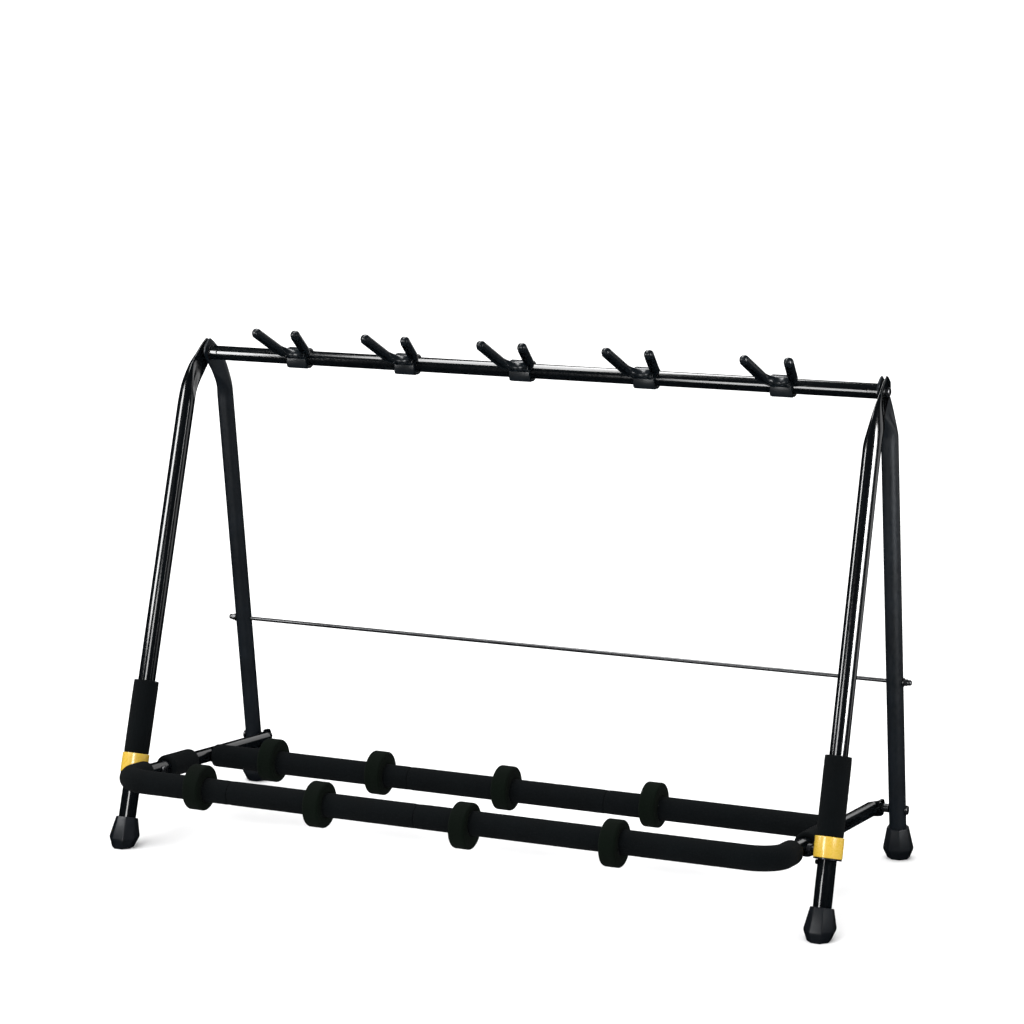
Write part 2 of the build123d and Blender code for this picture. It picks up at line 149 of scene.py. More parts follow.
def foam(name, base, speck):
    """Closed-cell foam: tiny pores, a sanded skin, almost no gloss."""
    m, nt, b = new_material(name)
    co = coords(nt)
    cells = nt.nodes.new("ShaderNodeTexVoronoi")
    cells.inputs["Scale"].default_value = 1150
    nt.links.new(co, cells.inputs["Vector"])
    grain = noise_tex(nt, co, 900, 3, 0.7)
    patch = noise_tex(nt, co, 24, 4, 0.55)
    mix = nt.nodes.new("ShaderNodeMix")
    mix.data_type = "RGBA"
    nt.links.new(span(nt, grain.outputs[0], 0.0, 1.0, 0.52, 0.78), mix.inputs["Factor"])
    nt.links.new(ramp(nt, patch.outputs[0], [(0.3, tuple(v * 0.8 for v in base)), (0.7, tuple(v * 1.2 for v in base))]), mix.inputs["A"])
    mix.inputs["B"].default_value = (*speck, 1)
    nt.links.new(mix.outputs["Result"], b.inputs["Base Color"])
    nt.links.new(span(nt, patch.outputs[0], 0.86, 0.98), b.inputs["Roughness"])
    b.inputs["Specular IOR Level"].default_value = 0.025
    b.inputs["Sheen Weight"].default_value = 0.01
    b.inputs["Sheen Roughness"].default_value = 0.6
    bump(nt, b, [(cells.outputs["Distance"], 0.35, 0.0004), (grain.outputs[0], 0.4, 0.0004), (patch.outputs[0], 0.15, 0.001)])
    return m


def rubber(name, base, rough, grain_scale=700, edge_highlight_gain=1.5):
    m, nt, b = new_material(name)
    co = coords(nt)
    grain = noise_tex(nt, co, grain_scale, 3, 0.6)
    patch = noise_tex(nt, co, 45, 4, 0.6)
    # convex edges (high pointiness) take a lighter colour, base * edge_highlight_gain: a painted edge highlight
    geo = nt.nodes.new("ShaderNodeNewGeometry")
    mix = nt.nodes.new("ShaderNodeMix")
    mix.data_type = "RGBA"
    nt.links.new(span(nt, geo.outputs["Pointiness"], 0.0, 0.7, 0.52, 0.62), mix.inputs["Factor"])
    nt.links.new(ramp(nt, patch.outputs[0], [(0.3, tuple(v * 0.78 for v in base)), (0.7, tuple(v * 1.25 for v in base))]), mix.inputs["A"])
    mix.inputs["B"].default_value = (*(v * edge_highlight_gain for v in base), 1)
    nt.links.new(mix.outputs["Result"], b.inputs["Base Color"])
    nt.links.new(span(nt, patch.outputs[0], rough * 0.85, rough * 1.15), b.inputs["Roughness"])
    b.inputs["Specular IOR Level"].default_value = 0.22
    bump(nt, b, [(grain.outputs[0], 0.12, 0.0003), (patch.outputs[0], 0.1, 0.0008)])
    return m


def gloss_plastic(name, base):
    m, nt, b = new_material(name)
    co = coords(nt)
    patch = noise_tex(nt, co, 30, 4, 0.6)
    fine = noise_tex(nt, co, 350, 2, 0.5)
    nt.links.new(ramp(nt, patch.outputs[0], [(0.3, tuple(v * 0.985 for v in base)), (0.7, tuple(min(1, v * 1.01) for v in base))]), b.inputs["Base Color"])
    nt.links.new(span(nt, fine.outputs[0], 0.24, 0.34), b.inputs["Roughness"])
    b.inputs["Coat Weight"].default_value = 0.4
    b.inputs["Coat Roughness"].default_value = 0.12
    b.inputs["Subsurface Weight"].default_value = 0.05
    bump(nt, b, [(fine.outputs[0], 0.04, 0.0002), (patch.outputs[0], 0.05, 0.0008)])
    return m


def hardware(name, base, rough, metallic):
    m, nt, b = new_material(name)
    co = coords(nt)
    patch = noise_tex(nt, co, 90, 4, 0.6)
    fine = noise_tex(nt, co, 900, 2, 0.5)
    nt.links.new(ramp(nt, patch.outputs[0], [(0.3, tuple(v * 0.8 for v in base)), (0.7, tuple(v * 1.25 for v in base))]), b.inputs["Base Color"])
    nt.links.new(span(nt, fine.outputs[0], rough * 0.8, rough * 1.25), b.inputs["Roughness"])
    b.inputs["Metallic"].default_value = metallic
    bump(nt, b, [(fine.outputs[0], 0.06, 0.0002)])
    return m


MATS = {
    "black_enamel": enamel("black_enamel", (0.0020, 0.0028, 0.0036), 0.14, 0.42),
    # rear legs: a rougher satin finish; the lighter blue-grey base colour is a painted reflected sheen
    "rear_enamel_painted_sheen": enamel("rear_enamel_painted_sheen", (0.0046, 0.0074, 0.0108), 0.42, 0.14),
    "foam_black": foam("foam_black", (0.0022, 0.0031, 0.0036), (0.0065, 0.0075, 0.0085)),
    "divider_foam": foam("divider_foam", (0.0020, 0.0040, 0.0024), (0.0032, 0.0055, 0.0036)),
    # yoke and foot rubber: the edge gain paints highlights on their convex edges
    "yoke_rubber": rubber("yoke_rubber", (0.0042, 0.0066, 0.0090), 0.30, edge_highlight_gain=1.8),
    "collar_yellow": gloss_plastic("collar_yellow", (0.66, 0.42, 0.045)),
    "foot_rubber": rubber("foot_rubber", (0.0034, 0.0054, 0.0082), 0.42, grain_scale=420, edge_highlight_gain=2.2),
    "black_plastic": gloss_plastic("black_plastic", (0.004, 0.004, 0.005)),
    "dark_rod": hardware("dark_rod", (0.005, 0.006, 0.008), 0.3, 0.2),
    "black_hardware": hardware("black_hardware", (0.008, 0.009, 0.011), 0.28, 0.25),
}

slots = {s["node"]: s["material_slot"] for s in frame["record"]["subparts"]}
for name, ob in frame["nodes"].items():
    ob.data.materials.clear()
    # rear legs take the enamel copy with painted sheen instead of their slot material
    ob.data.materials.append(MATS["rear_enamel_painted_sheen" if name.startswith("rear_leg") else slots[name]])


# ------------------------------------------------------------------ mesh tools
def make(name, verts, faces, body, mat, smooth_deg=40, replaced=()):
    me = bpy.data.meshes.new(name)
    me.from_pydata([tuple(v) for v in verts], [], faces)
    me.validate()
    ob = bpy.data.objects.new(name, me)
    bpy.context.scene.collection.objects.link(ob)
    bm = bmesh.new()
    bm.from_mesh(me)
    bmesh.ops.recalc_face_normals(bm, faces=bm.faces)
    bm.to_mesh(me)
    bm.free()
    finish_piece(ob, body, mat, smooth_deg, replaced)
    return ob


def finish_piece(ob, body, mat, smooth_deg=40, replaced=()):
    me = ob.data
    me.materials.clear()
    me.materials.append(MATS[mat])
    set_smooth(ob, smooth_deg)
    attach(ob, body)
    if replaced:
        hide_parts(*replaced)


def set_smooth(ob, deg):
    me = ob.data
    for p in me.polygons:
        p.use_smooth = True
    if deg < 180:
        bm = bmesh.new()
        bm.from_mesh(me)
        lim = math.radians(deg)
        for e in bm.edges:
            e.smooth = not (len(e.link_faces) == 2 and e.calc_face_angle(0) > lim)
        bm.to_mesh(me)
        bm.free()


def bevel(ob, width, segments=2, angle=25):
    m = ob.modifiers.new("bevel", "BEVEL")
    m.width = width
    m.segments = segments
    m.limit_method = "ANGLE"
    m.angle_limit = math.radians(angle)
    m.harden_normals = False
    bpy.context.view_layer.update()
    dg = bpy.context.evaluated_depsgraph_get()
    me = bpy.data.meshes.new_from_object(ob.evaluated_get(dg))
    ob.modifiers.clear()
    old = ob.data
    ob.data = me
    bpy.data.meshes.remove(old)


class Path:
    """A planar line of runs and arcs, evaluated by length."""

    def __init__(self, pts, plane_normal):
        self.p = pts
        self.n = plane_normal.normalized()
        self.s = [0.0]
        for a, b in zip(pts, pts[1:]):
            self.s.append(self.s[-1] + (b - a).length)
        self.length = self.s[-1]

    def at(self, s):
        s = min(max(s, 0.0), self.length)
        lo, hi = 0, len(self.s) - 1
        while hi - lo > 1:
            mid = (lo + hi) // 2
            if self.s[mid] <= s:
                lo = mid
            else:
                hi = mid
        f = (s - self.s[lo]) / max(self.s[lo + 1] - self.s[lo], 1e-9)
        pos = self.p[lo].lerp(self.p[lo + 1], f)
        t1 = (self.p[lo + 1] - self.p[lo]).normalized()
        t0 = (self.p[lo] - self.p[lo - 1]).normalized() if lo else t1
        t2 = (self.p[lo + 2] - self.p[lo + 1]).normalized() if lo + 2 < len(self.p) else t1
        t = ((t0 + t1) * (1 - f) + (t1 + t2) * f).normalized()
        return pos, t, self.n.cross(t).normalized(), self.n


def arc(c, u, v, r, a0, a1, n):
    return [c + u * (r * math.cos(a0 + (a1 - a0) * i / n)) + v * (r * math.sin(a0 + (a1 - a0) * i / n)) for i in range(n + 1)]


def rings_mesh(rings, closed):
    verts = [v for r in rings for v in r]
    n = len(rings[0])
    faces = []
    last = len(rings) if closed else len(rings) - 1
    for i in range(last):
        a, b = i * n, ((i + 1) % len(rings)) * n
        for j in range(n):
            k = (j + 1) % n
            faces.append((a + j, a + k, b + k, b + j))
    return verts, faces


def foam_tube(name, path, r_out, r_in, body, node, step=0.0024, seg=72, seed=0.0, edge=0.0012):
    """A foam sleeve: soft rounded ends, a slightly uneven skin, a bore over its tube."""
    L = path.length
    ends = [0.0, edge * 0.06, edge * 0.3, edge * 0.62, edge]
    count = max(3, int((L - 2 * edge) / step))
    ss = ends[:-1] + [edge + (L - 2 * edge) * i / count for i in range(count + 1)] + [L - e for e in reversed(ends[:-1])]
    rings = []
    for s in ss:
        pos, t, a, b = path.at(s)
        d = min(s, L - s)
        r = r_out
        if d < edge:
            r = r_out - edge + math.sqrt(max(0.0, edge * edge - (edge - d) ** 2))
        ring = []
        for j in range(seg):
            w = 2 * math.pi * j / seg
            e = a * math.cos(w) + b * math.sin(w)
            p = pos + e * r
            q = p * 60 + Vector((seed, 0, 0))
            dr = 0.00011 * noise.noise(q) + 0.00006 * noise.noise(p * 420)
            flare = 0.00025 * math.exp(-((d / 0.004) ** 2))
            ring.append(pos + e * (r + dr - flare))
        rings.append(ring)
    inner = []
    for s in (L, L - 0.004, L * 0.5, 0.004, 0.0):
        pos, t, a, b = path.at(s)
        inner.append([pos + (a * math.cos(2 * math.pi * j / seg) + b * math.sin(2 * math.pi * j / seg)) * r_in for j in range(seg)])
    if L > 0.12:
        count_in = int(L / 0.006)
        inner = []
        for i in range(count_in + 1):
            s = L * (1 - i / count_in)
            pos, t, a, b = path.at(s)
            inner.append([pos + (a * math.cos(2 * math.pi * j / seg) + b * math.sin(2 * math.pi * j / seg)) * r_in for j in range(seg)])
    verts, faces = rings_mesh(rings + inner, True)
    return make(name, verts, faces, body, "foam_black", 180, (node,))


def rail_points(x0, x1, side=0, y_arm=None):
    straight = ARM_X - RAIL_BEND_R
    if not side:
        return [V(x0, RAIL_Y, RAIL_Z), V(x1, RAIL_Y, RAIL_Z)]
    c = V(side * straight, RAIL_Y, RAIL_Z) + ARM_D * RAIL_BEND_R * MM
    pts = [V(x0, RAIL_Y, RAIL_Z)]
    pts += arc(c, -ARM_D, Vector((side, 0, 0)), RAIL_BEND_R * MM, 0, math.pi / 2, 40)
    pts.append(V(side * ARM_X, y_arm, arm_z(y_arm)))
    return pts


def foam_paths():
    up = Vector((1, 0, 0)).cross(ARM_D).normalized()
    gap = 0.05
    bore = (ARM_R + 0.1) * MM
    r = FOAM_R * MM
    foam_tube("rail_foam_right", Path(rail_points(241 + gap, 0, 1, CORNER_FOAM_Y), up), r, bore, "cradle", "front_foam_right", seed=1)
    foam_tube("rail_foam_left", Path(rail_points(-281 - gap, 0, -1, CORNER_FOAM_Y), up), r, bore, "cradle", "front_foam_left", seed=2)
    foam_tube("rail_foam_mid_left", Path(rail_points(-281 + gap, -20 - gap), up), r, bore, "cradle", "front_foam_mid_left", seed=3)
    foam_tube("rail_foam_mid_right", Path(rail_points(-20 + gap, 241 - gap), up), r, bore, "cradle", "front_foam_mid_right", seed=4)
    z = arm_z(REAR_RAIL_Y)
    end = ARM_X - ARM_R - 1.0
    for nm, a, b in (("left", -end, -139.5 - gap), ("mid", -139.5 + gap, 139.5 - gap), ("right", 139.5 + gap, end)):
        foam_tube("back_foam_" + nm, Path([V(a, REAR_RAIL_Y, z), V(b, REAR_RAIL_Y, z)], Vector((0, 0, 1))), r, bore, "cradle", "rear_foam_" + nm, seed=5 + a)
    for s, sd in ((1, "right"), (-1, "left")):
        foam_tube("arm_sleeve_" + sd, Path([V(s * ARM_X, -190, arm_z(-190)), V(s * ARM_X, -124, arm_z(-124))], Vector((1, 0, 0))), r, bore, "cradle", "arm_foam_" + sd, seed=8 + s, edge=0.0035)


FLEN = math.hypot(FRONT_FOOT_Y - FRONT_TOP_Y, PIVOT_Z)
FRONT_DIR = Vector((0, (FRONT_FOOT_Y - FRONT_TOP_Y) / FLEN, -PIVOT_Z / FLEN))


def front_point(x, s):
    return V(x, FRONT_TOP_Y, PIVOT_Z) + FRONT_DIR * s * MM


def lathe(name, base, axis, profile, body, mat, replaced=(), seg=96, deg=40):
    """Closed surface of revolution. profile is a closed loop of (along, radius) in metres."""
    axis = axis.normalized()
    u = axis.orthogonal().normalized()
    w = axis.cross(u)
    rings = []
    for t, r in profile:
        rings.append([base + axis * t + (u * math.cos(2 * math.pi * j / seg) + w * math.sin(2 * math.pi * j / seg)) * r for j in range(seg)])
    verts, faces = rings_mesh(rings, True)
    return make(name, verts, faces, body, mat, deg, replaced)


def rounded(points, radius, n=4):
    """Rounds every corner of a closed 2-D loop."""
    out = []
    k = len(points)
    for i in range(k):
        a, b, c = Vector(points[i - 1]), Vector(points[i]), Vector(points[(i + 1) % k])
        u, v = (a - b), (c - b)
        lu, lv = u.length, v.length
        u.normalize(), v.normalize()
        ang = u.angle(v)
        rr = radius[i] if isinstance(radius, (list, tuple)) else radius
        if rr <= 0 or ang > math.pi - 0.02:
            out.append(tuple(b))
            continue
        d = min(rr / math.tan(ang / 2), lu * 0.49, lv * 0.49)
        rr = d * math.tan(ang / 2)
        centre = b + (u + v).normalized() * (rr / math.sin(ang / 2))
        p0, p1 = b + u * d, b + v * d
        a0 = math.atan2(p0.y - centre.y, p0.x - centre.x)
        a1 = math.atan2(p1.y - centre.y, p1.x - centre.x)
        while a1 - a0 > math.pi:
            a1 -= 2 * math.pi
        while a1 - a0 < -math.pi:
            a1 += 2 * math.pi
        for q in range(n + 1):
            f = a0 + (a1 - a0) * q / n
            out.append((centre.x + rr * math.cos(f), centre.y + rr * math.sin(f)))
    return out


def grips():
    for s, sd in ((1, "right"), (-1, "left")):
        x = s * FRONT_X
        p = [front_point(x, 441.0), front_point(x, 537.7)]
        foam_tube("grip_" + sd, Path(p, Vector((1, 0, 0))), 16.6 * MM, 13.3 * MM, "grip_" + sd, "grip_foam_" + sd, seed=20 + s, edge=0.001)
        prof = rounded([(537.9, 13.3), (537.9, 17.7), (563.3, 17.7), (563.3, 13.3)], [0, 0.9, 0.9, 0], 5)
        lathe("yellow_collar_" + sd, V(x, FRONT_TOP_Y, PIVOT_Z), FRONT_DIR, [(a * MM, b * MM) for a, b in prof], "grip_" + sd, "collar_yellow", ("collar_" + sd,), 128, 30)


# ------------------------------------------------------------------------ legs
def cut(ob, cutters):
    for c in cutters:
        m = ob.modifiers.new("cut", "BOOLEAN")
        m.operation = "DIFFERENCE"
        m.solver = "EXACT"
        m.object = c
        bpy.context.view_layer.update()
        dg = bpy.context.evaluated_depsgraph_get()
        me = bpy.data.meshes.new_from_object(ob.evaluated_get(dg))
        ob.modifiers.clear()
        ob.data = me
        bpy.data.objects.remove(c, do_unlink=True)


def pin(p, r, half):
    """Plain cylinder along X, used only to cut a hole."""
    seg = 48
    vs = [p + Vector((sx * half, r * math.cos(2 * math.pi * j / seg), r * math.sin(2 * math.pi * j / seg))) for sx in (-1, 1) for j in range(seg)]
    fs = [(j, (j + 1) % seg, seg + (j + 1) % seg, seg + j) for j in range(seg)] + [tuple(range(seg))[::-1], tuple(range(seg, 2 * seg))]
    me = bpy.data.meshes.new("pin")
    me.from_pydata([tuple(v) for v in vs], [], fs)
    ob = bpy.data.objects.new("pin", me)
    bpy.context.scene.collection.objects.link(ob)
    return ob


UPPER = [(-27.0, 16.6), (-18.0, 17.2), (-8.0, 17.6), (2.0, 17.0), (12.0, 15.2), (14.0, 13.0), (16.0, 7.6), (17.3, 1.2)]
LOWER = [(-27.0, 16.2), (-12.0, 15.7), (0.0, 13.6), (12.0, 11.4), (14.5, 8.4), (16.5, 3.6), (17.3, 1.2)]


def pick(table, t):
    for (a, u), (b, v) in zip(table, table[1:]):
        if t <= b:
            return u + (v - u) * max(0.0, (t - a) / (b - a))
    return table[-1][1]


def leg(name, node, body, mat, x, r, top_y, foot_y, bend_r, end_deg, hole_r, holes, full_side, clear):
    """A leg tube. Its end is pressed flat from one side; on full_side (+1 or -1
    along X) it keeps its curve up to clear mm short of the pivot."""
    sgn = 1 if top_y < 0 else -1
    slope = abs(top_y - foot_y) / PIVOT_Z
    a0, a1 = math.atan(slope), math.radians(end_deg)
    dy = bend_r * (math.cos(a0) - math.cos(a1))
    dz = bend_r * (math.sin(a1) - math.sin(a0))
    m = (abs(top_y) + slope * dz - dy) / (math.sin(a1) - slope * math.cos(a1))
    bend_end = (-sgn * m * math.sin(a1), PIVOT_Z - m * math.cos(a1))
    start = (bend_end[0] - sgn * dy, bend_end[1] - dz)
    centre = (start[0] + sgn * bend_r * math.cos(a0), start[1] - bend_r * math.sin(a0))
    arc_len = bend_r * (a1 - a0)
    total = m + arc_len + (start[1] - 9.0) / math.cos(a0)

    def on_path(back):
        if back <= m:
            return -sgn * back * math.sin(a1), PIVOT_Z - back * math.cos(a1), a1
        if back <= m + arc_len:
            a = a1 - (back - m) / bend_r
            return centre[0] - sgn * bend_r * math.cos(a), centre[1] + bend_r * math.sin(a), a
        q = back - m - arc_len
        return start[0] - sgn * q * math.sin(a0), start[1] - q * math.cos(a0), a0

    end = min(84.0, m + arc_len - 3.0)
    wide = math.pi * r / 2 * 0.965
    stations = [-17.3, -17.0, -16.4, -15.6, -14.6, -13.4, -12.0, -10.0]
    stations += [-8.0 + 2.0 * i for i in range(55)]
    q = 102.0
    while q < total - 6.0:
        stations.append(q)
        q += 6.0
    stations.append(total)
    seg = 128
    rings = []
    for back in stations:
        y, z, h = on_path(back)
        up = Vector((0, -sgn * math.cos(h), math.sin(h)))
        k = min(1.0, max(0.0, (end + 4.0 - back) / (end + 4.0 - 24.0)))
        f = k * k * (3 - 2 * k)
        if back < 27.0:
            hi, lo = pick(UPPER, -back), pick(LOWER, -back)
            g = min(1.0, max(0.0, (27.0 - back) / 10.0))
            hi, lo = wide * (1 - g) + hi * g, wide * (1 - g) + lo * g
        else:
            hi = lo = r + (wide - r) * min(1.0, f * 1.12)
        thick = r + (1.6 - r) * f
        k2 = min(1.0, max(0.0, (66.0 - back) / (66.0 - clear)))
        f2 = k2 * k2 * (3 - 2 * k2)
        full = r + (1.6 - r) * f2
        p = 2.0 + 2.6 * f * f
        p_full = 2.0 + 2.6 * f2 * f2
        dent = 1.5 * math.sin(math.pi * f) ** 2
        c = V(x, y, z)
        ring = []
        for j in range(seg):
            w = 2 * math.pi * j / seg
            cu, su = math.cos(w), math.sin(w)
            bulge = su * full_side > 0
            e = 2 / (p_full if bulge else p)
            u = math.copysign(abs(cu) ** e, cu)
            v = math.copysign(abs(su) ** e, su)
            half = hi if u > 0 else lo
            th = full if bulge else thick - dent * math.exp(-((u / 0.34) ** 2)) * abs(v)
            ring.append(c + up * (u * half * MM) + Vector((v * th * MM, 0, 0)))
        rings.append(ring)
    verts, faces = rings_mesh(rings, False)
    faces.append(tuple(range(seg)))
    faces.append(tuple(range(len(verts) - seg, len(verts))))
    me = bpy.data.meshes.new(name)
    me.from_pydata([tuple(v) for v in verts], [], faces)
    bm = bmesh.new()
    bm.from_mesh(me)
    bmesh.ops.recalc_face_normals(bm, faces=bm.faces)
    bm.to_mesh(me)
    bm.free()
    ob = bpy.data.objects.new(name, me)
    bpy.context.scene.collection.objects.link(ob)
    cut(ob, [pin(V(x, 0, PIVOT_Z), hole_r * MM, 0.03)] + [pin(V(x, hy, hz), hr * MM, 0.03) for hy, hz, hr in holes])
    finish_piece(ob, body, mat, 40, (node,))


def legs():
    rod_y = REAR_TOP_Y + (REAR_FOOT_Y - REAR_TOP_Y) * (PIVOT_Z - 242.0) / PIVOT_Z
    for s, sd in ((1, "right"), (-1, "left")):
        leg("enamel_leg_front_" + sd, "front_leg_" + sd, "front_frame", "black_enamel", s * FRONT_X, 11.4,
            FRONT_TOP_Y, FRONT_FOOT_Y, 100.0, 54.0, 3.97, [], s, 7.0)
        leg("enamel_leg_rear_" + sd, "rear_leg_" + sd, "rear_frame", "rear_enamel_painted_sheen", s * REAR_X, 11.1,
            REAR_TOP_Y, REAR_FOOT_Y, 90.0, 50.0, 4.03, [(rod_y, 242.0, 2.63), (HINGE_Y, HINGE_Z, 3.03)], -s, 15.0)


# -------------------------------------------------------------------- dividers
def divider(name, node, body, x, y, z, drop, t=22.0):
    """A thick foam disc pushed onto a foam sleeve, its bore a little off centre."""
    rad = 28.8

    def radius(w):
        return -drop * math.sin(w) + math.sqrt(rad * rad - (drop * math.cos(w)) ** 2)

    seg = 144
    up = Vector((1, 0, 0)).cross(ARM_D).normalized()
    c = V(x, y, z)
    bore = FOAM_R + 0.3
    h = t / 2
    rr = [radius(2 * math.pi * j / seg) for j in range(seg)]
    e = 3.2
    prof = []                       # (x offset, fraction towards the outline, inset mm)
    for f in (0.0, 0.12, 0.3, 0.5, 0.7, 0.85, 1.0):
        prof.append((-h, f, e))
    for k in range(1, 7):
        w = math.pi / 2 * k / 6
        prof.append((-h + e * (1 - math.cos(w)), 1.0, e * (1 - math.sin(w))))
    for k in range(1, 6):
        prof.append((-h + e + (t - 2 * e) * k / 6, 1.0, 0.0))
    for k in range(0, 7):
        w = math.pi / 2 * (1 - k / 6)
        prof.append((h - e * (1 - math.cos(w)), 1.0, e * (1 - math.sin(w))))
    for f in (0.85, 0.7, 0.5, 0.3, 0.12, 0.0):
        prof.append((h, f, e))
    for k in range(1, 4):
        prof.append((h - t * k / 4, 0.0, e))
    rings = []
    for dx, f, inset in prof:
        ring = []
        for j in range(seg):
            w = 2 * math.pi * j / seg
            r = bore + (rr[j] - inset - bore) * f
            crown = 0.0
            if abs(dx) == h:
                crown = -0.35 * (1 - math.sin(math.pi * min(f, 1))) * (1 if dx > 0 else -1)
            p = c + Vector(((dx + crown) * MM, 0, 0)) + (ARM_D * math.cos(w) + up * math.sin(w)) * r * MM
            if f > 0.0:
                p += (ARM_D * math.cos(w) + up * math.sin(w)) * (0.00018 * noise.noise(p * 90))
            ring.append(p)
        rings.append(ring)
    verts, faces = rings_mesh(rings, True)
    make(name, verts, faces, body, "divider_foam", 180, (node,))


def dividers():
    zr = arm_z(REAR_RAIL_Y)
    for i, x in enumerate((-326.8, -155.9, 43.7, 240.5)):
        divider(f"foam_divider_front_{i + 1}", f"divider_front_{i + 1}", f"divider_front_{i + 1}", x, RAIL_Y, RAIL_Z, (-2.5, 0.3, 4.1, 2.6)[i])
    for i, x in enumerate((-345.0, -185.0, -2.3, 202.9)):
        divider(f"foam_divider_rear_{i + 1}", f"divider_rear_{i + 1}", f"divider_rear_{i + 1}", x, REAR_RAIL_Y, zr, (-2.6, -2.6, -2.6, -3.6)[i])


# ------------------------------------------------------------------------ feet
def foot(name, node, body, x, r, top_y, foot_y, z_top):
    slope = (top_y - foot_y) / PIVOT_Z
    d = Vector((0, slope, 1)).normalized()
    n = 8

    def ring(z, rad, tilt, count=n):
        o = V(x, foot_y + slope * z, z)
        zd = d if tilt else Vector((0, 0, 1))
        u = Vector((1, 0, 0))
        w = zd.cross(u).normalized()
        return [o + (u * math.cos(math.pi / 8 + 2 * math.pi * j / count) + w * math.sin(math.pi / 8 + 2 * math.pi * j / count)) * rad * MM for j in range(count)]

    rings = [
        ring(z_top - 16, r + 0.15, True),
        ring(z_top - 1.5, r + 0.15, True),
        ring(z_top, r + 0.9, True),
        ring(z_top, r + 3.3, True),
        ring(14.6, 20.0, False),
        ring(12.4, 20.0, False),
        ring(0.0, 14.6, False),
    ]
    verts, faces = rings_mesh(rings, False)
    m = len(verts)
    faces.append(tuple(range(n)))
    faces.append(tuple(range(m - n, m)))
    me = bpy.data.meshes.new(name)
    me.from_pydata([tuple(v) for v in verts], [], faces)
    bm = bmesh.new()
    bm.from_mesh(me)
    bmesh.ops.recalc_face_normals(bm, faces=bm.faces)
    bm.to_mesh(me)
    bm.free()
    ob = bpy.data.objects.new(name, me)
    bpy.context.scene.collection.objects.link(ob)
    bevel(ob, 0.0011, 3, 12)
    for v in ob.data.vertices:
        v.co.z = max(v.co.z, 0.0)
    finish_piece(ob, body, "foot_rubber", 28, (node,))


def feet():
    for s, sd in ((1, "right"), (-1, "left")):
        foot("rubber_foot_front_" + sd, "front_foot_" + sd, "front_frame", s * FRONT_X, 11.4, FRONT_TOP_Y, FRONT_FOOT_Y, 37.0)
        foot("rubber_foot_rear_" + sd, "rear_foot_" + sd, "rear_frame", s * REAR_X, 11.1, REAR_TOP_Y, REAR_FOOT_Y, 43.0)


# ----------------------------------------------------------------------- yokes
YOKE_X = (-333.6, -173.8, -8.9, 163.4, 346.2)
BAR_R = 9.7


